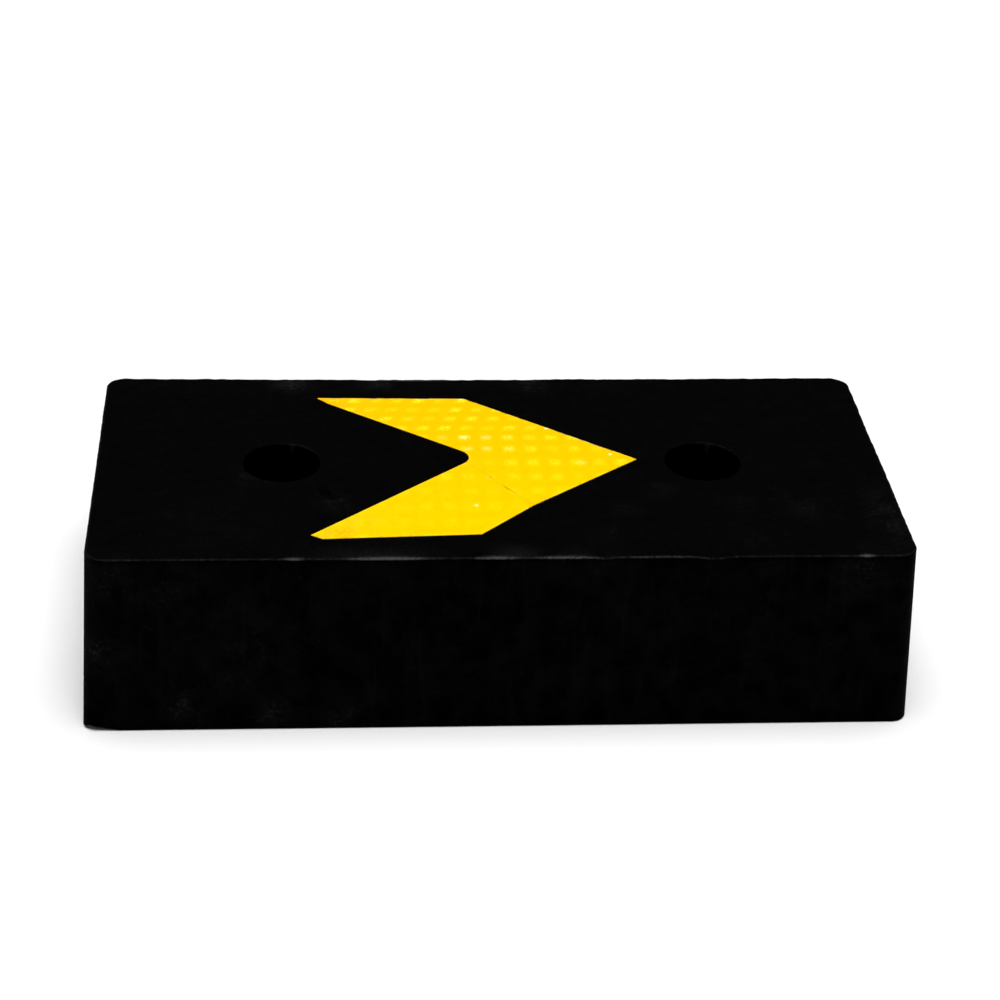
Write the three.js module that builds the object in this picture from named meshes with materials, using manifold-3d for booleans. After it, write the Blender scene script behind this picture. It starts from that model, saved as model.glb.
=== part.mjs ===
// A rubber speed bump: a drafted block of solid rubber, bolted down through two deep holes,
// with an arrow of reflective film set in its top face.
//
// Millimetres. +X runs along the block, the way the arrow points, and +Z is up.
// The origin is the middle of the face that rests on the road.

import * as THREE from 'three';
import { mergeVertices } from 'three/addons/utils/BufferGeometryUtils.js';
import Module from 'manifold-3d';

const wasm = await Module();
wasm.setup();

// The rubber block
const BASE_LENGTH = 432;
const BASE_WIDTH = 208;
const BODY_HEIGHT = 100;
const DRAFT_DEGREES = 2.5;
const CORNER_RADIUS = 10.5;
const TOP_EDGE_BREAK = 1.2;
const CORNER_STEPS = 8;

// The two bolt holes
const HOLE_SPACING = 227;
const COUNTERBORE_DIAMETER = 41;
const MOUTH_CHAMFER = 1.8;
const BEARING_FACE_HEIGHT = 40;
const WASHER = { outside: 40, hole: 17.5, thickness: 6 };
const SLEEVE = { outside: 22, hole: 18, foot: 1 };
const ROUND_STEPS = 48;

// The arrow of reflective film, in plan. It is cut by hand, so its two arms differ a little.
const FILM_THICKNESS = 1;
const FILM_PROUD = 0.3;
const TIP = [78.1, 2.6];
const NOTCH = [-8, 5.9];
const NOTCH_RADIUS = 9;
const NOTCH_STEPS = 8;
const SEAM_STEP = 7;
const SHOULDER_BACK = [-11.6, 73.2];
const SHOULDER_FRONT = [-11.3, -76.1];
const SEAM_END = [18.2, -46.5];
const TAIL_BACK = [[-94.2, 74.3], [-88.2, 67.8]];
const TAIL_FRONT = [[-98.7, -76.1], [-92.4, -79.9]];

// Clearances
const SEAT_GAP = 0.3;
const CUT_MARGIN = 5;

const topInset = BODY_HEIGHT * Math.tan(THREE.MathUtils.degToRad(DRAFT_DEGREES));
const holes = [
  { side: 'left', x: -HOLE_SPACING / 2 },
  { side: 'right', x: HOLE_SPACING / 2 },
];

// Solids: from a three.js geometry to a manifold and back

function toSolid(geometry) {
  const bare = geometry.clone();
  bare.deleteAttribute('normal');
  bare.deleteAttribute('uv');
  const merged = mergeVertices(bare, 1e-4);
  const vertProperties = new Float32Array(merged.attributes.position.array);
  const triVerts = new Uint32Array(merged.index.array);
  return new wasm.Manifold(new wasm.Mesh({ numProp: 3, vertProperties, triVerts }));
}

function toGeometry(solid) {
  const mesh = solid.getMesh();
  const geometry = new THREE.BufferGeometry();
  geometry.setAttribute('position', new THREE.BufferAttribute(mesh.vertProperties, 3));
  geometry.setIndex(new THREE.BufferAttribute(mesh.triVerts, 1));
  geometry.computeVertexNormals();
  return geometry;
}

// Outlines in plan, as lists of THREE.Vector2 in anticlockwise order

function point([x, y]) {
  return new THREE.Vector2(x, y);
}

// The arc of the given radius that rounds a corner between two straight edges.
function roundedCorner(before, corner, after, radius, steps) {
  const toBefore = before.clone().sub(corner).normalize();
  const toAfter = after.clone().sub(corner).normalize();
  const halfAngle = Math.acos(toBefore.dot(toAfter)) / 2;
  const middle = toBefore.clone().add(toAfter).normalize();
  const centre = corner.clone().addScaledVector(middle, radius / Math.sin(halfAngle));
  const tangentReach = radius / Math.tan(halfAngle);
  const start = corner.clone().addScaledVector(toBefore, tangentReach).sub(centre);
  const end = corner.clone().addScaledVector(toAfter, tangentReach).sub(centre);
  const turn = Math.atan2(start.cross(end), start.dot(end));
  const arc = [];
  for (let i = 0; i <= steps; i += 1) {
    const spoke = start.clone().rotateAround(new THREE.Vector2(), (turn * i) / steps);
    arc.push(centre.clone().add(spoke));
  }
  return arc;
}

// The outline moved out by a distance, or in where the distance is negative.
function offsetOutline(outline, distance) {
  return outline.map((here, i) => {
    const before = outline[(i + outline.length - 1) % outline.length];
    const after = outline[(i + 1) % outline.length];
    const edgeIn = here.clone().sub(before).normalize();
    const edgeOut = after.clone().sub(here).normalize();
    const normalIn = new THREE.Vector2(edgeIn.y, -edgeIn.x);
    const normalOut = new THREE.Vector2(edgeOut.y, -edgeOut.x);
    const mitre = normalIn.add(normalOut).normalize();
    return here.clone().addScaledVector(mitre, distance / mitre.dot(normalOut));
  });
}

function roundedRectangle(length, width, radius) {
  const corners = [
    [length / 2, -width / 2],
    [length / 2, width / 2],
    [-length / 2, width / 2],
    [-length / 2, -width / 2],
  ].map(point);
  return corners.flatMap((corner, i) => {
    const before = corners[(i + 3) % 4];
    const after = corners[(i + 1) % 4];
    return roundedCorner(before, corner, after, radius, CORNER_STEPS);
  });
}

const notchArc = roundedCorner(
  point(TAIL_BACK[1]), point(NOTCH), point(TAIL_FRONT[0]), NOTCH_RADIUS, NOTCH_STEPS,
);

function arrowOutline() {
  return [
    point(TIP),
    point(SHOULDER_BACK),
    ...TAIL_BACK.map(point),
    ...notchArc,
    ...TAIL_FRONT.map(point),
    point(SHOULDER_FRONT),
    point(SEAM_END),
  ];
}

function upperStripOutline() {
  return [
    point(TIP),
    point(SHOULDER_BACK),
    ...TAIL_BACK.map(point),
    ...notchArc.slice(0, SEAM_STEP + 1),
    point(SEAM_END),
  ];
}

function lowerStripOutline() {
  return [
    point(SEAM_END),
    ...notchArc.slice(SEAM_STEP),
    ...TAIL_FRONT.map(point),
    point(SHOULDER_FRONT),
  ];
}

// Basic forms

function plate(outline, thickness) {
  const shape = new THREE.Shape(outline);
  return new THREE.ExtrudeGeometry(shape, { depth: thickness, bevelEnabled: false });
}

// A solid of revolution about Z. The profile is a list of [radius, height].
function turned(profile) {
  const points = profile.map(([radius, height]) => new THREE.Vector2(radius, height));
  const geometry = new THREE.LatheGeometry(points, ROUND_STEPS);
  geometry.rotateX(Math.PI / 2);
  return geometry;
}

function ring(outside, hole, low, high) {
  return turned([
    [hole / 2, low],
    [outside / 2, low],
    [outside / 2, high],
    [hole / 2, high],
    [hole / 2, low],
  ]);
}

// The walls between level outlines of the same number of points, closed at both ends.
function lofted(levels) {
  const count = levels[0].outline.length;
  const positions = [];
  levels.forEach(({ outline, height }) => {
    outline.forEach((p) => positions.push(p.x, p.y, height));
  });
  const index = [];
  for (let level = 0; level < levels.length - 1; level += 1) {
    for (let i = 0; i < count; i += 1) {
      const next = (i + 1) % count;
      const a = level * count + i;
      const b = level * count + next;
      index.push(a, b, b + count, a, b + count, a + count);
    }
  }
  const lastLevel = (levels.length - 1) * count;
  for (let i = 1; i < count - 1; i += 1) {
    index.push(0, i + 1, i);
    index.push(lastLevel, lastLevel + i, lastLevel + i + 1);
  }
  const geometry = new THREE.BufferGeometry();
  geometry.setAttribute('position', new THREE.Float32BufferAttribute(positions, 3));
  geometry.setIndex(index);
  return geometry;
}

// Sub-parts

// The block at a height, as deep in from its foot as the draft and the top edge's break take it.
function blockLevel(height, inset) {
  const length = BASE_LENGTH - 2 * inset;
  const width = BASE_WIDTH - 2 * inset;
  return { outline: roundedRectangle(length, width, CORNER_RADIUS), height };
}

function block() {
  const edgeHeight = BODY_HEIGHT - TOP_EDGE_BREAK;
  const edgeInset = topInset * (edgeHeight / BODY_HEIGHT);
  return lofted([
    blockLevel(0, 0),
    blockLevel(edgeHeight, edgeInset),
    blockLevel(BODY_HEIGHT, topInset + TOP_EDGE_BREAK / 2),
  ]);
}

// The space for one bolt: a chamfered counterbore, the washer's seat and the sleeve's bore.
function boltHole() {
  const wide = COUNTERBORE_DIAMETER / 2;
  const narrow = SLEEVE.outside / 2 + SEAT_GAP;
  const seat = BEARING_FACE_HEIGHT - WASHER.thickness - SEAT_GAP;
  const chamferFoot = BODY_HEIGHT - MOUTH_CHAMFER;
  return turned([
    [0, -CUT_MARGIN],
    [narrow, -CUT_MARGIN],
    [narrow, seat],
    [wide, seat],
    [wide, chamferFoot],
    [wide + MOUTH_CHAMFER + CUT_MARGIN, BODY_HEIGHT + CUT_MARGIN],
    [0, BODY_HEIGHT + CUT_MARGIN],
  ]);
}

function rubberBody() {
  const filmSeat = plate(offsetOutline(arrowOutline(), SEAT_GAP / 2), FILM_THICKNESS + CUT_MARGIN);
  filmSeat.translate(0, 0, BODY_HEIGHT + FILM_PROUD - FILM_THICKNESS - SEAT_GAP);
  let body = toSolid(block()).subtract(toSolid(filmSeat));
  holes.forEach(({ x }) => {
    body = body.subtract(toSolid(boltHole().translate(x, 0, 0)));
  });
  return toGeometry(body);
}

function filmStrip(outline) {
  return plate(offsetOutline(outline, -SEAT_GAP / 2), FILM_THICKNESS);
}

function bearingWasher() {
  return ring(WASHER.outside, WASHER.hole, 0, WASHER.thickness);
}

function boltSleeve() {
  const top = BEARING_FACE_HEIGHT - WASHER.thickness - SEAT_GAP;
  return ring(SLEEVE.outside, SLEEVE.hole, SLEEVE.foot, top);
}

// Materials

function blackRubber() {
  return new THREE.MeshStandardMaterial({ color: 0x171717, roughness: 0.78, metalness: 0 });
}

function yellowFilm() {
  return new THREE.MeshStandardMaterial({ color: 0xffd500, roughness: 0.35, metalness: 0 });
}

function zincSteel() {
  return new THREE.MeshStandardMaterial({ color: 0xa9adb0, roughness: 0.45, metalness: 1 });
}

// Assembly

const speedBump = new THREE.Group();

function addPart(name, geometry, material, x = 0, z = 0) {
  const mesh = new THREE.Mesh(geometry, material);
  mesh.name = name;
  mesh.position.set(x, 0, z);
  speedBump.add(mesh);
}

const filmFoot = BODY_HEIGHT + FILM_PROUD - FILM_THICKNESS;
const washerFoot = BEARING_FACE_HEIGHT - WASHER.thickness;

addPart('rubber_body', rubberBody(), blackRubber());
addPart('arrow_film_upper', filmStrip(upperStripOutline()), yellowFilm(), 0, filmFoot);
addPart('arrow_film_lower', filmStrip(lowerStripOutline()), yellowFilm(), 0, filmFoot);
holes.forEach(({ side, x }) => {
  addPart(`bearing_washer_${side}`, bearingWasher(), zincSteel(), x, washerFoot);
  addPart(`bolt_sleeve_${side}`, boltSleeve(), zincSteel(), x);
});

export default speedBump;
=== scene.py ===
"""A rubber speed bump with an arrow of embossed reflective film, on a pale studio floor.

Metres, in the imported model's frame: +X the way the arrow points, +Z up, origin under the middle.
"""

import math

import bpy
import numpy as np
from mathutils import Matrix, Vector, noise
from mathutils.geometry import delaunay_2d_cdt


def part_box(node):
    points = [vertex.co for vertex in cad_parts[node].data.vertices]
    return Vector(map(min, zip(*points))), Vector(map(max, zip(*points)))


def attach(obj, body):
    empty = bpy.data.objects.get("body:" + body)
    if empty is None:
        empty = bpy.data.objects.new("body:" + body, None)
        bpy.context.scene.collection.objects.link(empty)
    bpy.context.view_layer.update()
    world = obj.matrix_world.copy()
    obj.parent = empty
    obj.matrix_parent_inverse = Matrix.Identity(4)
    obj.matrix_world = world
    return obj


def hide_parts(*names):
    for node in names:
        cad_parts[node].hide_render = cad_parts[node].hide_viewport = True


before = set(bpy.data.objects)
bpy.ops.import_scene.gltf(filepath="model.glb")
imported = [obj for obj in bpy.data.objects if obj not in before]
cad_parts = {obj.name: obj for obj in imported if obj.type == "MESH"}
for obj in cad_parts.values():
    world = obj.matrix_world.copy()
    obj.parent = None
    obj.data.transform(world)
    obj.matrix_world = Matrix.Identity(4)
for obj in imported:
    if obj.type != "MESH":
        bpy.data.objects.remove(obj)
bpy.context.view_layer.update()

MM = 0.001
BODY = "root"

# The block, from its CAD box
BLOCK_LOW, BLOCK_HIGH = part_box("rubber_body")
HALF_LENGTH = (BLOCK_HIGH[0] - BLOCK_LOW[0]) / 2
HALF_WIDTH = (BLOCK_HIGH[1] - BLOCK_LOW[1]) / 2
HEIGHT = BLOCK_HIGH[2]
DRAFT = math.radians(2.5)
CORNER_RADIUS = 10.5 * MM
CORNER_STEPS = 16

# The corner radii at the foot: back right, back left, front left, front right
FOOT_CORNERS = (10.5 * MM, 10.5 * MM, 7 * MM, 8.5 * MM)

# The foot's front left corner is rubbed off in a slope along the front, fading out behind it
RUB_LENGTH = 19 * MM
RUB_PEAK = 0.18
RUB_RISE = 2.9 * MM
RUB_HEIGHT = 10 * MM
RUB_FADE = 4 * MM
RUB_BACK = 13.7 * MM

# The block's rounded edges, and how finely its surfaces are cut up
EDGE_RADIUS = 1.2 * MM
EDGE_STEPS = 6
FOOT_RADIUS = 0.8 * MM
FOOT_STEPS = 4
SIDE_STEP = 2 * MM
WALL_STEP = 5 * MM
GRID_STEP = 2.6 * MM
GRID_CLEARANCE = 0.6

# The gap that the CAD keeps below an inset piece, the level rim round each opening, and how
# near a height the points of a level face lie
SEAT_GAP = 0.3 * MM
RIM_STEP = 0.5 * MM
LEVEL_TOLERANCE = 0.05 * MM

# The mould's flash along the top edge. Its waves and its chips are noise, as (pitch, layer).
FLASH = 0.35 * MM
FLASH_LEVEL = 0.35
FLASH_SLOW = (30, 3.1)
FLASH_FAST = (240, 7.7)
WAVE_SIZE = 0.9
FLASH_CHIPS = (95, 1.3)
CHIP_LIMIT = 0.38
CHIP_SIZE = 5

# The back of the block bows in and its top edge sags, over a share of the half width
BACK_SHARE = 0.22
BACK_BOW = 1.2 * MM
BACK_SAG = 0.9 * MM
SAG_MIDDLE = -50 * MM
SAG_REACH = 250 * MM

# Where the front top edge is across the block, how far its knocks reach from it, and the share
# of the height above which a point lies on the top face
TOP_FRONT = -(HALF_WIDTH - HEIGHT * math.tan(DRAFT))
KNOCK_REACH = 4 * MM
TOP_SHARE = 0.999

# Stretches of the top edges, as (middle, half length, amount): where the edge is painted pale,
# partly flash torn off and partly a painted highlight along the edge, where dust lies on the top
# behind the front edge, and how deep that edge is knocked down
FRONT_TEARS_AND_HIGHLIGHT = (
    (-107 * MM, 6 * MM, 0.45),
    (-60 * MM, 22 * MM, 0.7),
    (-5 * MM, 12 * MM, 0.6),
    (30 * MM, 17 * MM, 0.5),
    (78 * MM, 20 * MM, 0.2),
    (184 * MM, 4 * MM, 0.6),
)
BACK_TEARS_AND_HIGHLIGHT = (
    (-165 * MM, 12 * MM, 0.3),
    (-40 * MM, 38 * MM, 0.7),
    (95 * MM, 18 * MM, 0.3),
)
EDGE_DUST = (
    (-68 * MM, 38 * MM, 0.6),
    (5 * MM, 14 * MM, 1.0),
    (36 * MM, 10 * MM, 0.35),
)
EDGE_KNOCKS = (
    (50 * MM, 8 * MM, 0.7 * MM),
    (106 * MM, 13 * MM, 1.3 * MM),
)

# How pale every edge is painted, partly wear and partly a painted highlight, how far down and
# how much further in, and how the stretches fade
EDGE_WEAR_AND_HIGHLIGHT = 0.26
EDGE_BAND_REACH = 1.3 * MM
EDGE_BAND_SPREAD = 2.2
EDGE_DUST_REACH = 18 * MM
STRETCH_FADE = 1.3

# Dust near the right end of the top, as (middle, half length) both ways
END_DUST = 0.8
END_DUST_ALONG = (HALF_LENGTH - 12 * MM, 20 * MM)
END_DUST_ACROSS = (-60 * MM, 60 * MM)

# Pale scuffs on the top and the sides, as (place, reach, strength), in millimetres
SCUFFS = (
    ((87, -30, 100), 18, 0.5),
    ((65, -51, 100), 16, 0.4),
    ((123, -49, 100), 22, 0.5),
    ((161, -50, 100), 28, 0.5),
    ((130, -82, 100), 22, 0.4),
    ((52, -73, 100), 20, 0.4),
    ((-109, 93, 100), 22, 1.0),
    ((-58, 94, 100), 22, 0.9),
    ((28, 93, 100), 20, 0.9),
    ((-129, -17, 100), 16, 0.9),
    ((-86, -44, 100), 16, 0.9),
    ((-150, -60, 100), 60, 0.3),
    ((-60, -86, 100), 30, 0.3),
    ((-207, -101, 43), 24, 1.0),
    ((50, -100, 95), 14, 0.9),
    ((184, -100, 90), 26, 0.6),
    ((-165, -103, 14), 28, 0.8),
    ((-115, -104, 7), 24, 0.8),
    ((-82, -104, 4), 20, 0.8),
    ((-140, -102, 50), 50, 0.45),
    ((-199, -100, 88), 26, 0.6),
    ((-171, -100, 83), 28, 0.55),
    ((60, 101, 60), 60, 0.6),
    ((-120, 102, 35), 56, 0.6),
    ((213, 30, 55), 50, 0.6),
    ((-213, -20, 40), 54, 0.6),
)

# The bolt holes
BORE_RADIUS = 20.3 * MM
LIP = 0.9 * MM
HOLE_STEPS = 120
BORE_LEVELS = 12
LIP_STEPS = 4

# A hole's lip painted pale, partly wear and partly a painted highlight that is brightest toward
# one side, and a painted highlight down its far wall. Their directions and spreads are in degrees.
RIM_WEAR_AND_HIGHLIGHT = 0.12
RIM_REACH = 2 * MM
RIM_SHINE = 60
RIM_SHINE_HIGHLIGHT = 0.09
RIM_SHINE_SPREAD = 70
BORE_HIGHLIGHT_TURN = 74
BORE_HIGHLIGHT_WIDTH = 7
BORE_HIGHLIGHT_LENGTH = 28 * MM

# The holes' distance from the middle, from their washers
HOLE_X = sum(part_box("bearing_washer_right")[end][0] for end in (0, 1)) / 2

# A crescent pressed into the top beside the left hole
DENT_CENTRE = Vector((-78 * MM, -27 * MM))
DENT_RADIUS = 14 * MM
DENT_WIDTH = 5.5 * MM
DENT_DEPTH = 1.8 * MM
DENT_ARC = (math.radians(172), math.radians(244))
DENT_ROWS = np.arange(-0.7, 0.71, 0.2)
DENT_STEPS = 24
DENT_BLUNTNESS = 0.6
DENT_POINT_GAP = 1.2 * MM

# The film's embossed cells. Behind the anchor's row the rows lie closer and lean over.
CELL_LENGTH = 11.9 * MM
CELL_WIDTH = {"back": 10.8 * MM, "middle": 12.9 * MM, "front": 15.6 * MM}
CELL_ANCHOR = Vector((-50 * MM, 27.4 * MM))
CELL_LEAN = {"from": 33 * MM, "slope": 0.34}
CELL_HEIGHT = 0.11 * MM
FILM_STEP = 1.15 * MM
FILM_EDGE = 0.1 * MM
FILM_RIM = 2 * MM
FILM_BORDER = 1.2 * MM
SEAM_GROWTH = 0.145 * MM

# How far from its seat's wall, in millimetres, the film's edge starts to count as the cut line:
# where it grows, and where the painted shade along it starts
SEAM_GROWTH_START = 0.3
SEAM_SHADE_START = 0.5

# Painted highlights: the cells painted as glinting in the light, as (place in plan, strength),
# in millimetres
PAINTED_GLINTS = (
    ((-14.1, 27.4), 1.0),
    ((-2.2, 27.4), 0.4),
    ((9.7, 27.4), 0.15),
    ((-26.2, 27.4), 0.12),
    ((-13, 14.8), 0.35),
    ((-2.6, 14.8), 0.3),
    ((9.5, 14.6), 0.25),
    ((48.2, -1.5), 0.2),
)

# Grit on the film, painted as bright glints, and stains, as places in plan, in millimetres
GRIT_GLINTS = ((64.1, 8), (31.8, 37.6), (-12.2, -46.9), (-13.4, 72.6))
STAINS = ((-82, -75), (-88, 71))

# The steel inserts: the radius of each hole, and how far its edges are broken
WASHER_HOLE = 8.75 * MM
WASHER_BEVEL = 0.5 * MM
SLEEVE_HOLE = 9 * MM
SLEEVE_BEVEL = 0.4 * MM

# The camera's place, direction and lens, and the level that the picture shows as black
CAMERA_PLACE = Vector((-0.1056, -1.1554, 0.7419))
CAMERA_PITCH = math.radians(29.83)
CAMERA_YAW = math.radians(5.44)
CAMERA_ROLL = math.radians(2.47)
CAMERA_LENS = 88.7
BLACK_LEVEL = 0.0022

# The studio: how far the floor reaches and lies below the block, and how the world dims upward
FLOOR_HALF = 30.0
FLOOR_DROP = 0.2 * MM
WORLD_FADE = {"From Min": 0.16, "From Max": 0.25, "To Min": 1.0, "To Max": 0.05}


# ---------------------------------------------------------------- surfaces


def inside(points, outline):
    """Which of the points lie inside the outline."""
    x, y = points[:, 0], points[:, 1]
    result = np.zeros(len(points), bool)
    for (x0, y0), (x1, y1) in zip(outline, np.roll(outline, -1, axis=0)):
        if y0 == y1:
            continue
        crosses = (y0 > y) != (y1 > y)
        result ^= crosses & (x < x0 + (y - y0) * (x1 - x0) / (y1 - y0))
    return result


def clearance(points, outline):
    """How far each point is from the outline's nearest corner or edge."""
    nearest = np.full(len(points), np.inf)
    for a, b in zip(outline, np.roll(outline, -1, axis=0)):
        along = b - a
        share = np.clip((points - a) @ along / max(along @ along, 1e-18), 0, 1)
        nearest = np.minimum(nearest, np.linalg.norm(points - a - share[:, None] * along, axis=1))
    return nearest


def offset(outline, distance):
    """The anticlockwise outline moved out by a distance, or in where it is negative."""
    outline = np.asarray(outline, float)
    ahead = np.roll(outline, -1, axis=0) - outline
    ahead /= np.linalg.norm(ahead, axis=1)[:, None]
    normal = np.stack([ahead[:, 1], -ahead[:, 0]], 1)
    mitre = normal + np.roll(normal, 1, axis=0)
    mitre /= np.linalg.norm(mitre, axis=1)[:, None]
    return outline + mitre * (distance / np.sum(mitre * normal, axis=1))[:, None]


def grid_points(outline, holes, step, margin):
    """Points on a staggered grid inside the outline, clear of it and of the holes."""
    low, high = outline.min(axis=0), outline.max(axis=0)
    rows = np.arange(low[1] + step / 2, high[1], step * math.sqrt(0.75))
    made = []
    for i, y in enumerate(rows):
        xs = np.arange(low[0] + step * (0.5 if i % 2 else 1.0), high[0], step)
        made.append(np.stack([xs, np.full(len(xs), y)], 1))
    points = np.concatenate(made)
    keep = inside(points, outline) & (clearance(points, outline) > margin)
    for hole in holes:
        keep &= ~inside(points, hole) & (clearance(points, hole) > margin)
    return points[keep]


class Skin:
    """A closed surface built up from loops of points."""

    def __init__(self):
        self.points = []
        self.faces = []

    def loop(self, outline, height):
        """A level loop. Height may be one number or one for each point."""
        heights = np.broadcast_to(height, len(outline))
        first = len(self.points)
        self.points.extend((x, y, z) for (x, y), z in zip(outline, heights))
        return list(range(first, len(self.points)))

    def plan(self, loop):
        """A loop's outline seen from above."""
        return np.array([self.points[i][:2] for i in loop])

    def bridge(self, low, high):
        """The wall between two loops that both run anticlockwise, facing out."""
        for i in range(len(low)):
            j = (i + 1) % len(low)
            self.faces.append((low[i], low[j], high[j], high[i]))

    def stack(self, loops):
        for low, high in zip(loops, loops[1:]):
            self.bridge(low, high)

    def fill(self, outer, holes, extra, up):
        """The face between an outer loop and the loops in it, through extra points."""
        rim = [*outer, *(i for hole in holes for i in hole)]
        flat = [Vector(self.points[i][:2]) for i in rim]
        height = self.points[outer[0]][2]
        extra_ids = self.loop(extra, height)
        flat.extend(Vector(p) for p in extra)
        edges, first = [], 0
        for ring in (outer, *holes):
            edges.extend((first + i, first + (i + 1) % len(ring)) for i in range(len(ring)))
            first += len(ring)
        _, _, triangles, sources, _, _ = delaunay_2d_cdt(flat, edges, [], 0, 1e-9, True)
        ids = [*rim, *extra_ids]
        corners = np.array([flat[s[0]] for s in sources])
        triangles = np.array(triangles)
        centres = corners[triangles].mean(axis=1)
        keep = inside(centres, self.plan(outer))
        for hole in holes:
            keep &= ~inside(centres, self.plan(hole))
        for triangle in triangles[keep]:
            a, b, c = (ids[sources[v][0]] for v in triangle)
            self.faces.append((a, b, c) if up else (a, c, b))

    def piece(self, name, material, slot, node, sharp=32):
        """The surface as a Blender piece that stands for a CAD node."""
        mesh = bpy.data.meshes.new(name)
        mesh.from_pydata([tuple(p) for p in self.points], [], self.faces)
        mesh.validate()
        mesh.shade_smooth()
        mesh.set_sharp_from_angle(angle=math.radians(sharp))
        mesh.materials.append(material)
        piece = bpy.data.objects.new(name, mesh)
        bpy.context.scene.collection.objects.link(piece)
        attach(piece, BODY)
        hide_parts(node)
        return piece


def paint(piece, name, shares):
    """Keep a share for each point of a piece, for its material to read."""
    piece.data.attributes.new(name, "FLOAT", "POINT").data.foreach_set("value", shares)


def circle(centre, radius, steps=HOLE_STEPS):
    turn = np.linspace(0, 2 * math.pi, steps, endpoint=False)
    return np.stack([centre + radius * np.cos(turn), radius * np.sin(turn)], 1)


def level_outline(node, height):
    """The outline of a CAD node's level face at a height, running anticlockwise."""
    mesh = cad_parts[node].data
    place = {}
    for v in mesh.vertices:
        if abs(v.co.z - height) < LEVEL_TOLERANCE:
            place[v.index] = (round(v.co.x, 6), round(v.co.y, 6))
    edges = set()
    for polygon in mesh.polygons:
        if all(v in place for v in polygon.vertices):
            corners = [place[v] for v in polygon.vertices]
            edges.update(zip(corners, corners[1:] + corners[:1]))
    border = {a: b for a, b in edges if (b, a) not in edges}
    start = min(border)
    outline = [start]
    while border[outline[-1]] != start:
        outline.append(border[outline[-1]])
    outline = np.array(outline)
    ahead = np.roll(outline, -1, axis=0)
    area = np.sum(outline[:, 0] * ahead[:, 1] - ahead[:, 0] * outline[:, 1])
    return outline if area > 0 else outline[::-1]


def finely(outline, step):
    """The outline with its long edges cut to about one step."""
    made = []
    for a, b in zip(outline, np.roll(outline, -1, axis=0)):
        cuts = max(1, round(np.linalg.norm(b - a) / step))
        made.extend(a + (b - a) * i / cuts for i in range(cuts))
    return np.array(made)


# ---------------------------------------------------------------- the rubber block


def block_outline(height, edge_inset):
    """The block's outline at a height, in from the drafted wall by the edge's rounding."""
    inset = height * math.tan(DRAFT) + edge_inset
    x, y = HALF_LENGTH - inset, HALF_WIDTH - inset
    corners = np.array([(x, y), (-x, y), (-x, -y), (x, -y)])
    radii = [foot + (CORNER_RADIUS - foot) * height / HEIGHT - edge_inset for foot in FOOT_CORNERS]
    points = []
    for quarter, (corner, radius) in enumerate(zip(corners, radii)):
        facing = quarter * math.pi / 2
        out = np.array([math.cos(facing), math.sin(facing)])
        along = np.array([-math.sin(facing), math.cos(facing)])
        start = corners[quarter - 1] + along * radii[quarter - 1]
        end = corner - along * radius
        half_side = HALF_LENGTH if quarter % 2 else HALF_WIDTH
        cuts = round(2 * (half_side - CORNER_RADIUS) / SIDE_STEP)
        points.extend(start + (end - start) * i / cuts for i in range(cuts))
        for i in range(CORNER_STEPS):
            turn = facing + math.pi / 2 * i / CORNER_STEPS
            points.append(end - out * radius + radius * np.array([math.cos(turn), math.sin(turn)]))
    return np.array(points)


def hump(distance, reach):
    """1 at the middle, falling smoothly to 0 at the reach."""
    share = np.clip(1 - np.abs(distance) / reach, 0, 1)
    return share * share * (3 - 2 * share)


def waves(x, y, pitch, layer):
    """Smooth noise about 0 at a place, in a layer of its own."""
    return noise.noise(Vector((x * pitch, y * pitch, layer)))


def ragged_flash(outline):
    """How far the mould's flash stands out along the top edge."""
    amount = []
    for x, y in outline:
        slow, fast = waves(x, y, *FLASH_SLOW), waves(x, y, *FLASH_FAST)
        chips = max(0.0, waves(x, y, *FLASH_CHIPS) - CHIP_LIMIT) * CHIP_SIZE
        amount.append(FLASH * (FLASH_LEVEL + WAVE_SIZE * slow + WAVE_SIZE * fast - chips))
    return np.array(amount)


def block_walls(skin):
    """The loops from the foot to the start of the top face."""
    loops = []
    for i in range(FOOT_STEPS):
        turn = math.pi / 2 * i / FOOT_STEPS
        height = FOOT_RADIUS * (1 - math.cos(turn))
        loops.append(skin.loop(block_outline(height, FOOT_RADIUS * (1 - math.sin(turn))), height))
    wall_top = HEIGHT - EDGE_RADIUS
    for height in np.linspace(FOOT_RADIUS, wall_top, round(HEIGHT / WALL_STEP)):
        loops.append(skin.loop(block_outline(height, 0), height))
    for i in range(1, EDGE_STEPS + 1):
        turn = math.pi / 2 * i / EDGE_STEPS
        inset = EDGE_RADIUS * (1 - math.cos(turn))
        outline = block_outline(wall_top, inset)
        lift = EDGE_RADIUS * math.sin(turn)
        bulge = ragged_flash(outline) * math.sin(2 * turn)
        outward = offset(outline, 1.0) - outline
        outline = outline + outward * (bulge * math.cos(turn))[:, None]
        loops.append(skin.loop(outline, wall_top + lift + bulge * math.sin(turn)))
    loops.append(skin.loop(block_outline(wall_top, EDGE_RADIUS + RIM_STEP), HEIGHT))
    skin.stack(loops)
    return loops[0], loops[-1]


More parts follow.
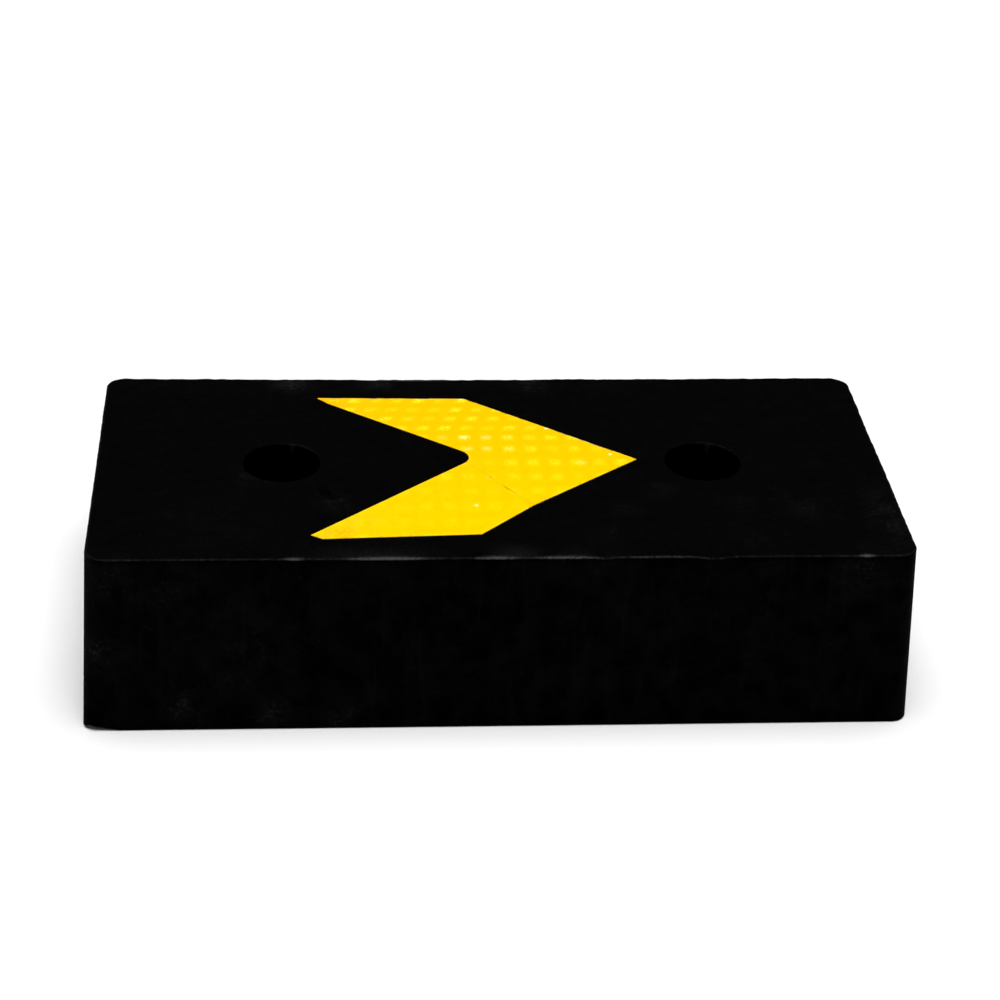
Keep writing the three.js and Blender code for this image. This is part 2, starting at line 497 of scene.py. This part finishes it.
def bolt_hole(skin, centre, seat_height):
    """One counterbore with its lip, the seat for the washer and the sleeve's bore."""
    sleeve_low, sleeve_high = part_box("bolt_sleeve_right")
    narrow = (sleeve_high[0] - sleeve_low[0]) / 2 + SEAT_GAP
    foot = skin.loop(circle(centre, narrow), 0)
    loops = [foot, skin.loop(circle(centre, narrow), seat_height)]
    loops.append(skin.loop(circle(centre, BORE_RADIUS), seat_height))
    for height in np.linspace(seat_height, HEIGHT - LIP, BORE_LEVELS)[1:]:
        loops.append(skin.loop(circle(centre, BORE_RADIUS), height))
    for i in range(1, LIP_STEPS + 1):
        turn = math.pi / 2 * i / LIP_STEPS
        radius = BORE_RADIUS + LIP * (1 - math.cos(turn))
        loops.append(skin.loop(circle(centre, radius), HEIGHT - LIP + LIP * math.sin(turn)))
    mouth = skin.loop(circle(centre, BORE_RADIUS + LIP + RIM_STEP), HEIGHT)
    skin.stack([mouth, *loops[::-1]])
    return foot, mouth


def film_seat(skin, seat_outline, floor_height):
    """The shallow arrow-shaped seat that the film lies in."""
    outline = finely(seat_outline, SIDE_STEP)
    border = skin.loop(offset(outline, RIM_STEP), HEIGHT)
    rim = skin.loop(outline, HEIGHT)
    floor = skin.loop(outline, floor_height)
    skin.stack([border, rim, floor])
    extra = grid_points(skin.plan(floor), [], 3 * GRID_STEP, 2 * GRID_STEP)
    skin.fill(floor, [], extra, up=True)
    return border


def dent_share(x, y):
    """How deep the pressed crescent is at a place, from 0 to 1."""
    away = Vector((x, y)) - DENT_CENTRE
    across = abs(away.length - DENT_RADIUS) / (DENT_WIDTH / 2)
    along = (math.atan2(away.y, away.x) % (2 * math.pi) - DENT_ARC[0]) / (DENT_ARC[1] - DENT_ARC[0])
    if across >= 1 or not 0 < along < 1:
        return 0.0
    return (1 - across**2) * math.sin(math.pi * along) ** DENT_BLUNTNESS


def dent_points():
    """Close points where the crescent is pressed in."""
    made = []
    for radius in DENT_ROWS * DENT_WIDTH + DENT_RADIUS:
        for turn in np.linspace(*DENT_ARC, DENT_STEPS):
            made.append(DENT_CENTRE + Vector((math.cos(turn), math.sin(turn))) * radius)
    return np.array([tuple(p) for p in made])


def rubbed_off(x, y):
    """How much of the foot's front left corner is gone at a place, from 0 to 1."""
    along = (x + HALF_LENGTH) / RUB_LENGTH
    slope = min(along / RUB_PEAK, (1 - along) / (1 - RUB_PEAK))
    depth = (RUB_BACK - HALF_WIDTH - y) / RUB_FADE
    return max(slope, 0) * min(max(depth, 0), 1)


def settle(point):
    """Where a point of a perfect block lies on the real one, shrunk a little and knocked."""
    x, y, z = point
    up = z / HEIGHT
    middle = 1 - (x / HALF_LENGTH) ** 2
    back = max(0.0, y / HALF_WIDTH - (1 - BACK_SHARE)) / BACK_SHARE
    y -= BACK_BOW * middle * back * up**2
    z -= BACK_SAG * hump(x - SAG_MIDDLE, SAG_REACH) * back * up**4
    if up > TOP_SHARE:
        z -= DENT_DEPTH * dent_share(x, y)
    z += RUB_RISE * rubbed_off(x, y) * max(0.0, 1 - z / RUB_HEIGHT)
    edge = hump(math.hypot(y - TOP_FRONT, z - HEIGHT), KNOCK_REACH)
    for knock, reach, depth in EDGE_KNOCKS:
        z -= depth * edge * hump(x - knock, reach)
    return x, y, z


def edge_share(x, y, z):
    """1 on the block's top edge, 0 a little down the wall or a little further in on top."""
    inset = z * math.tan(DRAFT)
    across = max(abs(x) - (HALF_LENGTH - inset - CORNER_RADIUS), 0)
    along = max(abs(y) - (HALF_WIDTH - inset - CORNER_RADIUS), 0)
    inward = CORNER_RADIUS - math.hypot(across, along)
    return hump(math.hypot(inward / EDGE_BAND_SPREAD, HEIGHT - z), EDGE_BAND_REACH)


def strongest_stretch(x, stretches):
    """The strongest share of some stretches of an edge, each fading out past its ends."""
    return max(peak * hump(x - middle, reach * STRETCH_FADE) for middle, reach, peak in stretches)


def round_hole(x, y):
    """How far a place is from the middle of the nearer hole, and in which direction in degrees."""
    across = x - math.copysign(HOLE_X, x)
    return math.hypot(across, y), math.degrees(math.atan2(y, across))


def rubber_wear_and_highlight(point):
    """How pale the edges and hole lips are at a point, from 0 to 1: wear and painted highlight."""
    x, y, z = point
    # The edge band: partly wear, partly a painted highlight along the top edges
    pale = EDGE_WEAR_AND_HIGHLIGHT
    if abs(x) < HALF_LENGTH - 2 * CORNER_RADIUS:
        pale += strongest_stretch(x, FRONT_TEARS_AND_HIGHLIGHT if y < 0 else BACK_TEARS_AND_HIGHLIGHT)
    # Each hole's lip: partly wear, partly a painted highlight that is brightest toward one side
    rim, turn = round_hole(x, y)
    shine = RIM_WEAR_AND_HIGHLIGHT + RIM_SHINE_HIGHLIGHT * hump(turn - RIM_SHINE, RIM_SHINE_SPREAD)
    lip_wear_and_highlight = shine * hump(math.hypot(rim - BORE_RADIUS - LIP, HEIGHT - z), RIM_REACH)
    return max(edge_share(x, y, z) * pale, lip_wear_and_highlight)


def bore_highlight_share(point):
    """A painted highlight down the far wall of each hole, from 0 to 1."""
    x, y, z = point
    rim, turn = round_hole(x, y)
    if rim > BORE_RADIUS + LIP:
        return 0.0
    down = hump(z - HEIGHT, BORE_HIGHLIGHT_LENGTH) * (1 - hump(z - HEIGHT, LIP))
    return hump(turn - BORE_HIGHLIGHT_TURN, BORE_HIGHLIGHT_WIDTH) * down


def rubber_dust(point):
    """How much pale dust and scuffing lies at a point, from 0 to 1."""
    x, y, z = point
    share = 0.0
    for place, reach, strength in SCUFFS:
        away = (Vector(point) - Vector(place) * MM).length
        share = max(share, strength * hump(away, reach * MM))
    if z > HEIGHT - EDGE_RADIUS / 2:
        along, across = END_DUST_ALONG, END_DUST_ACROSS
        share += END_DUST * hump(x - along[0], along[1]) * hump(y - across[0], across[1])
    return min(share, 1.0)


def edge_dust(point):
    """How much dust lies on the top behind the front edge, from 0 to 1."""
    x, y, z = point
    if z < HEIGHT - EDGE_RADIUS / 2 or y > 0:
        return 0.0
    return strongest_stretch(x, EDGE_DUST) * hump(y - TOP_FRONT, EDGE_DUST_REACH)


def block_top(skin, rim, openings):
    """The top face round its openings, with close points where the crescent is pressed in."""
    extra = grid_points(skin.plan(rim), [skin.plan(ring) for ring in openings],
                        GRID_STEP, GRID_STEP * GRID_CLEARANCE)
    close = dent_points()
    apart = [np.min(np.linalg.norm(close - p, axis=1)) > DENT_POINT_GAP for p in extra]
    skin.fill(rim, openings, np.concatenate([extra[apart], close]), up=True)


def block_foot(skin, foot, bores):
    """The face that rests on the road."""
    inner = [skin.plan(ring) for ring in bores]
    extra = grid_points(skin.plan(foot), inner, 3 * GRID_STEP, 2 * GRID_STEP)
    skin.fill(foot, bores, extra, up=False)


def rubber_body(material):
    skin = Skin()
    foot, rim = block_walls(skin)
    film_low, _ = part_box("arrow_film_upper")
    seat_floor = film_low[2] - SEAT_GAP
    border = film_seat(skin, level_outline("rubber_body", seat_floor), seat_floor)
    bores, mouths = [], []
    for side in ("left", "right"):
        low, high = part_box(f"bearing_washer_{side}")
        bore, mouth = bolt_hole(skin, (low[0] + high[0]) / 2, low[2] - SEAT_GAP)
        bores.append(bore)
        mouths.append(mouth)
    block_top(skin, rim, [*mouths, border])
    block_foot(skin, foot, bores)
    # The edge and lip share carries wear and a painted highlight; the hole wall share is a painted
    # highlight
    painted = {"wear_and_highlight": rubber_wear_and_highlight, "dust": rubber_dust, "fringe": edge_dust, "bore_highlight": bore_highlight_share}
    shares = {name: [share(p) for p in skin.points] for name, share in painted.items()}
    skin.points = [settle(p) for p in skin.points]
    piece = skin.piece("moulded_rubber_block", material, "rubber", "rubber_body")
    for name, values in shares.items():
        paint(piece, name, values)


# ---------------------------------------------------------------- the film


def cell_lift(x, y):
    """The film's height above its seams, from 0 to 1: a low pillow in each cell."""
    lean = CELL_LEAN["slope"] * max(0.0, y - CELL_LEAN["from"])
    along = (x - lean - CELL_ANCHOR.x) / CELL_LENGTH
    past = y - CELL_ANCHOR.y
    across = max(past, 0) / CELL_WIDTH["back"]
    across += max(min(past / CELL_WIDTH["middle"], 0), -1)
    across += min(past + CELL_WIDTH["middle"], 0) / CELL_WIDTH["front"]
    return math.prod(1 - (2 * (share - round(share))) ** 2 for share in (along, across))


def film_strip(node, name, material):
    """One piece of film, grown a little along the cut line so that it closes up."""
    low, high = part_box(node)
    seat = level_outline("rubber_body", low[2] - SEAT_GAP)
    outline = finely(level_outline(node, high[2]), FILM_STEP * 1.5)
    from_seat = np.clip(clearance(outline, seat) / MM - SEAM_GROWTH_START, 0, 1)
    outline = offset(outline, SEAM_GROWTH * from_seat)
    face = high[2] - CELL_HEIGHT
    skin = Skin()
    loops = [skin.loop(outline, low[2]), skin.loop(outline, face - FILM_EDGE)]
    for turn in (math.radians(30), math.radians(60), math.radians(90)):
        inner = offset(outline, -FILM_EDGE * (1 - math.cos(turn)))
        loops.append(skin.loop(inner, face - FILM_EDGE * (1 - math.sin(turn))))
    skin.stack(loops)
    extra = grid_points(skin.plan(loops[-1]), [], FILM_STEP, FILM_STEP * GRID_CLEARANCE)
    skin.fill(loops[-1], [], extra, up=True)
    skin.fill(loops[0], [], grid_points(outline, [], 8 * FILM_STEP, 4 * FILM_STEP), up=False)
    plan = np.array(skin.points)[:, :2]
    edge = np.clip(clearance(plan, outline) / FILM_RIM, 0, 1)
    lifted = []
    for (x, y, z), share in zip(skin.points, edge):
        on_face = z > face - 1e-6
        lifted.append((x, y, z + CELL_HEIGHT * cell_lift(x, y) * share if on_face else z))
    skin.points = lifted
    piece = skin.piece(name, material, "reflective_film", node, sharp=50)
    from_seat = clearance(plan, seat)
    paint(piece, "border", 1 - np.clip(from_seat / FILM_BORDER, 0, 1))
    # Painted shade along the cut line between the strips
    seam_shade_share = np.clip(from_seat / MM - SEAM_SHADE_START, 0, 1)
    paint(piece, "seam_shade", (1 - np.clip(edge * 3, 0, 1)) * seam_shade_share)


# ---------------------------------------------------------------- the steel inserts


def steel_ring(node, name, material, hole_radius, bevel):
    """A turned ring with broken edges, standing for a CAD ring."""
    low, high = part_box(node)
    centre = (low[0] + high[0]) / 2
    outside = (high[0] - low[0]) / 2
    skin = Skin()
    profile = [
        (outside - bevel, low[2]),
        (outside, low[2] + bevel),
        (outside, high[2] - bevel),
        (outside - bevel, high[2]),
        (outside - 2 * bevel, high[2]),
        (hole_radius + 2 * bevel, high[2]),
        (hole_radius + bevel, high[2]),
        (hole_radius, high[2] - bevel),
        (hole_radius, low[2] + bevel),
        (hole_radius + bevel, low[2]),
    ]
    loops = [skin.loop(circle(centre, radius), height) for radius, height in profile]
    skin.stack([*loops, loops[0]])
    skin.piece(name, material, "zinc_steel", node, sharp=25)


# ---------------------------------------------------------------- materials


class Recipe:
    """A node material around one Principled shader, in object coordinates."""

    # The places of the Mix node's colour sockets among those of its other kinds
    MIX_A, MIX_B, MIX_RESULT = 6, 7, 2

    def __init__(self, name):
        self.material = bpy.data.materials.new(name)
        self.material.use_nodes = True
        self.tree = self.material.node_tree
        self.shader = self.tree.nodes["Principled BSDF"]
        self.place = self.tree.nodes.new("ShaderNodeTexCoord").outputs["Object"]

    def add(self, kind, sockets=(), **settings):
        """A node of a kind, with its settings and its input sockets filled."""
        node = self.tree.nodes.new(kind)
        for key, value in settings.items():
            setattr(node, key, value)
        for key, value in dict(sockets).items():
            self.put(node.inputs[key], value)
        return node

    def put(self, socket, value):
        if isinstance(value, bpy.types.NodeSocket):
            self.tree.links.new(value, socket)
        else:
            socket.default_value = value

    def set(self, **sockets):
        for key, value in sockets.items():
            self.put(self.shader.inputs[key.replace("_", " ")], value)

    def stretched(self, scale):
        return self.add("ShaderNodeMapping", {"Vector": self.place, "Scale": scale}).outputs[0]

    def noise(self, scale, detail=4.0, roughness=0.55, where=None):
        sockets = {"Vector": where or self.place, "Scale": scale, "Detail": detail}
        sockets["Roughness"] = roughness
        return self.add("ShaderNodeTexNoise", sockets).outputs["Fac"]

    def cells(self, scale):
        """How far a place is from the nearest of some scattered points."""
        sockets = {"Vector": self.place, "Scale": scale}
        return self.add("ShaderNodeTexVoronoi", sockets).outputs["Distance"]

    def span(self, value, low, high, to_low=0.0, to_high=1.0, smooth=True):
        """A value's stretch from low to high, moved to another stretch and held there."""
        sockets = {"Value": value, "From Min": low, "From Max": high}
        sockets.update({"To Min": to_low, "To Max": to_high})
        kind = "SMOOTHSTEP" if smooth else "LINEAR"
        node = self.add("ShaderNodeMapRange", sockets, interpolation_type=kind)
        return node.outputs["Result"]

    def math(self, operation, a, b=0.0):
        node = self.add("ShaderNodeMath", operation=operation)
        self.put(node.inputs[0], a)
        self.put(node.inputs[1], b)
        return node.outputs[0]

    def mix(self, share, a, b):
        """From colour a to colour b by a share."""
        sockets = {"Factor": share, self.MIX_A: a, self.MIX_B: b}
        return self.add("ShaderNodeMix", sockets, data_type="RGBA").outputs[self.MIX_RESULT]

    def axis(self, name):
        return self.add("ShaderNodeSeparateXYZ", {"Vector": self.place}).outputs[name]

    def share(self, name):
        """A share painted on the mesh's points."""
        return self.add("ShaderNodeAttribute", attribute_name=name).outputs["Fac"]

    def near(self, place, inner, outer):
        """1 within the inner distance of a place, falling to 0 at the outer."""
        sockets = {0: self.place, 1: place}
        away = self.add("ShaderNodeVectorMath", sockets, operation="DISTANCE").outputs["Value"]
        return self.span(away, outer, inner)

    def spot(self, place, inner, outer):
        """A round spot on the top, with its place and reaches in millimetres."""
        x, y = place
        return self.near((x * MM, y * MM, HEIGHT), inner * MM, outer * MM)

    def most(self, *values):
        """The largest of some values."""
        result = values[0]
        for value in values[1:]:
            result = self.math("MAXIMUM", result, value)
        return result

    def product(self, *values):
        result = values[0]
        for value in values[1:]:
            result = self.math("MULTIPLY", result, value)
        return result

    def bump(self, height, distance, strength=1.0, under=None):
        sockets = {"Height": height, "Distance": distance, "Strength": strength}
        if under:
            sockets["Normal"] = under
        return self.add("ShaderNodeBump", sockets).outputs["Normal"]


def colour(r, g, b):
    return (r, g, b, 1.0)


def grey(level):
    return colour(level, level, level)


# The rubber's tones: its top, its walls and what lies on them
TOP_TONES = (grey(0.0017), grey(0.0021))
WALL_TONES = (grey(0.0018), grey(0.0031))
STREAK_TONE = grey(0.006)
DUST_TONE = colour(0.022, 0.022, 0.021)
SPECK_TONE = colour(0.03, 0.03, 0.029)
# Painted pale on the edges and hole lips: partly wear, partly a painted highlight
WORN_AND_HIGHLIGHT_TONE = colour(0.045, 0.045, 0.043)
# A painted highlight down each hole's far wall
BORE_HIGHLIGHT_TONE = colour(0.012, 0.012, 0.0115)

# The film's tones
BACK_YELLOW = colour(0.97, 0.54, 0.0)
FRONT_YELLOW = colour(0.97, 0.61, 0.0)
MOTTLE_TONE = colour(0.93, 0.53, 0.0)
CLOUD_TONE = colour(0.95, 0.5, 0.0)
GROOVE_TONE = colour(0.93, 0.5, 0.0)
# The mark in each cell: partly the film's cell pattern, partly a painted highlight
CELL_MARK_AND_HIGHLIGHT_TONE = colour(1.0, 0.84, 0.015)
# Painted glints on a few cells
PAINTED_GLINT_TONE = colour(1.0, 0.95, 0.25)
BORDER_TONE = colour(1.0, 0.85, 0.06)
# Grit painted as bright glints
GRIT_GLINT_TONE = colour(1, 0.95, 0.38)
STAIN_TONE = colour(0.9, 0.43, 0.0)
# Painted shade along the cut line between the strips
SEAM_SHADE_TONE = colour(0.8, 0.36, 0.0)

STEEL_TONES = (colour(0.30, 0.31, 0.32), colour(0.46, 0.47, 0.48))
FLOOR_TONE = grey(0.88)


def rubber_tone(r, streak):
    """Nearly black and blotchy, a little paler and streaked down the walls."""
    blotch = r.span(r.noise(75, 5, 0.65), 0.3, 0.7)
    wall = r.span(r.axis("Z"), HEIGHT - MM, HEIGHT - 4 * MM)
    base = r.mix(wall, r.mix(blotch, *TOP_TONES), r.mix(blotch, *WALL_TONES))
    lined = r.product(r.span(streak, 0.52, 0.72), r.span(wall, 0, 1, 0.15, 0.3))
    return r.mix(lined, base, STREAK_TONE)


def dust_share(r):
    """How thick the dust lies: smeared thinly all over, crumbly in the scuffs and by the edge."""
    smear = r.noise(1, 6, 0.75, where=r.stretched((420, 620, 420)))
    thin = r.product(r.span(r.noise(55, 6, 0.7), 0.52, 0.8), r.span(smear, 0.5, 0.7), 0.14)
    dust = r.product(r.share("dust"), r.span(r.noise(70, 4, 0.7), 0.38, 0.58, 0.25, 1.0))
    crumb = r.span(r.math("ADD", smear, r.product(dust, 0.1)), 0.55, 0.7)
    crumbly = r.math("ADD", r.product(crumb, 0.42), 0.08)
    fringe = r.product(crumbly, r.share("fringe"), 2.6)
    return r.most(thin, r.product(crumbly, dust), fringe)


def worn_and_highlight_share(r):
    """Where the edges and hole lips are painted pale, in crumbs: partly wear, partly painted
    highlight.
    """
    wear_and_highlight = r.share("wear_and_highlight")
    crumbs = r.product(r.math("SUBTRACT", r.noise(520, 5, 0.75), 0.5), r.span(wear_and_highlight, 0, 0.7), 2.2)
    return r.span(r.math("ADD", wear_and_highlight, crumbs), 0.1, 0.75)


def black_rubber():
    r = Recipe("black_rubber")
    streak = r.noise(1, 5, 0.65, where=r.stretched((170, 170, 14)))
    base = r.mix(dust_share(r), rubber_tone(r, streak), DUST_TONE)
    specks = r.product(r.span(r.cells(380), 0.13, 0.05), r.span(r.noise(45, 3), 0.55, 0.7), 0.5)
    base = r.mix(specks, base, SPECK_TONE)
    # The edges and hole lips painted pale: partly wear, partly a painted highlight
    base = r.mix(worn_and_highlight_share(r), base, WORN_AND_HIGHLIGHT_TONE)
    # A painted highlight down each hole's far wall
    r.set(Base_Color=r.mix(r.share("bore_highlight"), base, BORE_HIGHLIGHT_TONE))
    r.set(Roughness=r.span(r.noise(90, 5, 0.65), 0.3, 0.75, 0.78, 0.9))
    r.set(Specular_IOR_Level=0.018)
    grain = r.bump(r.noise(700, 4, 0.65), 0.2 * MM, 0.7)
    medium = r.bump(r.noise(210, 5, 0.6), 0.3 * MM, 0.6, grain)
    combed = r.bump(streak, 0.2 * MM, 0.5, medium)
    pits = r.span(r.cells(260), 0.12, 0.02)
    r.set(Normal=r.bump(pits, -0.2 * MM, 0.5, combed))
    return r.material


def cell_shares(r):
    """The film's cell at a place, and how far the place is from the cell's middle, 0 to 0.5."""
    x, y = r.axis("X"), r.axis("Y")
    lean = r.math("MAXIMUM", r.math("SUBTRACT", y, CELL_LEAN["from"]), 0.0)
    x = r.math("SUBTRACT", x, r.math("MULTIPLY", lean, CELL_LEAN["slope"]))
    along = r.math("DIVIDE", r.math("SUBTRACT", x, CELL_ANCHOR.x), CELL_LENGTH)
    past = r.math("SUBTRACT", y, CELL_ANCHOR.y)
    behind = r.math("DIVIDE", r.math("MAXIMUM", past, 0.0), CELL_WIDTH["back"])
    middle = r.span(past, -CELL_WIDTH["middle"], 0, -1, 0, smooth=False)
    ahead = r.math("MINIMUM", r.math("ADD", past, CELL_WIDTH["middle"]), 0.0)
    across = r.math("ADD", behind, middle)
    across = r.math("ADD", across, r.math("DIVIDE", ahead, CELL_WIDTH["front"]))
    cell = [r.math("ROUND", share) for share in (along, across)]
    away = [r.math("ABSOLUTE", r.math("SUBTRACT", share, whole))
            for share, whole in zip((along, across), cell)]
    return cell, away


def film_ground(r, mottle):
    """The film's yellow, redder toward the back, mottled and clouded."""
    base = r.mix(r.span(r.axis("Y"), 75 * MM, -60 * MM), BACK_YELLOW, FRONT_YELLOW)
    base = r.mix(r.product(mottle, 0.35), base, MOTTLE_TONE)
    cloud = r.span(r.noise(150, 4, 0.65), 0.4, 0.65)
    return r.mix(r.product(cloud, 0.3), base, CLOUD_TONE)


def film_cells(r, base):
    """The dull grooves between the cells, the mark in each, partly a painted highlight, and painted
    glints in a few.
    """
    (column, row), (along, across) = cell_shares(r)
    groove = r.most(r.span(along, 0.36, 0.5), r.span(across, 0.34, 0.5))
    base = r.mix(r.product(groove, 0.1), base, GROOVE_TONE)
    ragged = r.span(r.noise(600, 3), 0.3, 0.6)
    shape = r.product(r.span(along, 0.4, 0.1), r.span(across, 0.36, 0.06), ragged)
    cell = r.add("ShaderNodeCombineXYZ", {0: column, 1: row}).outputs[0]
    chance = r.add("ShaderNodeTexWhiteNoise", {"Vector": cell}).outputs["Value"]
    # The cell marks, partly a painted highlight, are painted brighter toward the back
    behind = r.span(r.axis("Y"), -50 * MM, 45 * MM, 0.26, 0.95)
    strength = r.product(behind, r.span(chance, 0, 1, 0.3, 1.0))
    base = r.mix(r.product(shape, strength), base, CELL_MARK_AND_HIGHLIGHT_TONE)
    # Painted glints on a few cells
    for place, strength in PAINTED_GLINTS:
        painted_glint = r.product(r.spot(place, 1, 4), r.span(across, 0.28, 0.07), ragged, strength)
        base = r.mix(painted_glint, base, PAINTED_GLINT_TONE)
    return base


def film_marks(r, base, mottle):
    """The film's pale border, grit painted as glints, stains, and painted shade along the cut line.
    """
    border = r.product(r.share("border"), r.span(r.noise(130, 4), 0.4, 0.6), 0.55)
    base = r.mix(border, base, BORDER_TONE)
    # Grit painted as bright glints
    for place in GRIT_GLINTS:
        base = r.mix(r.spot(place, 0.4, 1.5), base, GRIT_GLINT_TONE)
    for place in STAINS:
        stain = r.product(r.spot(place, 2, 9), r.span(mottle, 0.1, 0.8), 0.8)
        base = r.mix(stain, base, STAIN_TONE)
    # Painted shade along the cut line
    return r.mix(r.product(r.share("seam_shade"), 0.15), base, SEAM_SHADE_TONE)


def yellow_film():
    r = Recipe("yellow_film")
    mottle = r.span(r.noise(420, 3, 0.6), 0.3, 0.7)
    base = film_cells(r, film_ground(r, mottle))
    r.set(Base_Color=film_marks(r, base, mottle))
    r.set(Roughness=r.span(r.noise(120, 4, 0.6), 0.3, 0.7, 0.16, 0.24))
    r.set(Specular_IOR_Level=0.08)
    r.set(Normal=r.bump(r.noise(900, 3, 0.5), 0.02 * MM, 0.4))
    return r.material


def zinc_steel():
    r = Recipe("zinc_steel")
    tone = r.span(r.noise(160, 5, 0.6), 0.3, 0.7)
    r.set(Base_Color=r.mix(tone, *STEEL_TONES))
    r.set(Metallic=1.0)
    r.set(Roughness=r.span(r.noise(300, 4, 0.6), 0.3, 0.7, 0.38, 0.6))
    r.set(Normal=r.bump(r.noise(700, 4, 0.6), 0.05 * MM, 0.5))
    return r.material


# ---------------------------------------------------------------- studio


def add_camera():
    data = bpy.data.cameras.new("camera")
    data.lens = CAMERA_LENS
    camera = bpy.data.objects.new("camera", data)
    turn = Matrix.Rotation(-CAMERA_YAW, 4, "Z")
    turn @= Matrix.Rotation(math.pi / 2 - CAMERA_PITCH, 4, "X")
    turn @= Matrix.Rotation(CAMERA_ROLL, 4, "Z")
    camera.matrix_world = Matrix.Translation(CAMERA_PLACE) @ turn
    bpy.context.scene.collection.objects.link(camera)
    bpy.context.scene.camera = camera


def add_floor():
    mesh = bpy.data.meshes.new("floor")
    corners = [(-1, -1), (1, -1), (1, 1), (-1, 1)]
    points = [(x * FLOOR_HALF, y * FLOOR_HALF, -FLOOR_DROP) for x, y in corners]
    mesh.from_pydata(points, [], [(0, 1, 2, 3)])
    r = Recipe("pale_floor")
    r.set(Base_Color=FLOOR_TONE)
    r.set(Roughness=0.9)
    r.set(Specular_IOR_Level=0.1)
    mesh.materials.append(r.material)
    floor = bpy.data.objects.new("floor", mesh)
    bpy.context.scene.collection.objects.link(floor)


def add_light(name, kind, place, aim, strength, **settings):
    data = bpy.data.lights.new(name, kind)
    data.energy = strength
    for key, value in settings.items():
        setattr(data, key, value)
    light = bpy.data.objects.new(name, data)
    light.location = place
    light.rotation_euler = (Vector(aim) - Vector(place)).to_track_quat("-Z", "Y").to_euler()
    bpy.context.scene.collection.objects.link(light)


def pale_world():
    """White round the horizon and dim overhead, so the flat top stays dark."""
    world = bpy.data.worlds.new("studio")
    world.use_nodes = True
    tree = world.node_tree
    place = tree.nodes.new("ShaderNodeTexCoord").outputs["Generated"]
    split = tree.nodes.new("ShaderNodeSeparateXYZ")
    fade = tree.nodes.new("ShaderNodeMapRange")
    tree.links.new(place, split.inputs[0])
    tree.links.new(split.outputs["Z"], fade.inputs["Value"])
    for name, value in WORLD_FADE.items():
        fade.inputs[name].default_value = value
    tree.links.new(fade.outputs["Result"], tree.nodes["Background"].inputs["Strength"])
    tree.nodes["Background"].inputs["Color"].default_value = grey(1)
    bpy.context.scene.world = world


def add_studio():
    add_light("overhead", "SUN", place=(0, -0.15, 2), aim=(0, 0, 0),
              strength=3.4, angle=math.radians(50))
    add_light("front_softbox", "AREA", place=(0.05, -1.0, 1.75), aim=(0, 0, 0.05),
              strength=4, shape="DISK", size=0.6)
    add_light("back_lamp", "AREA", place=(-0.1, 1.45, 0.95), aim=(0, 0, 0.1),
              strength=0.05, shape="DISK", size=0.06)
    pale_world()
    view = bpy.context.scene.view_settings
    view.view_transform = "Standard"
    view.use_curve_mapping = True
    view.curve_mapping.black_level = [BLACK_LEVEL] * 3


# ---------------------------------------------------------------- the scene


add_camera()
add_floor()
add_studio()

rubber_body(black_rubber())
film = yellow_film()
film_strip("arrow_film_upper", "reflective_film_upper", film)
film_strip("arrow_film_lower", "reflective_film_lower", film)
steel = zinc_steel()
for side in ("left", "right"):
    steel_ring(f"bearing_washer_{side}", f"steel_washer_{side}", steel, WASHER_HOLE, WASHER_BEVEL)
    steel_ring(f"bolt_sleeve_{side}", f"steel_sleeve_{side}", steel, SLEEVE_HOLE, SLEEVE_BEVEL)
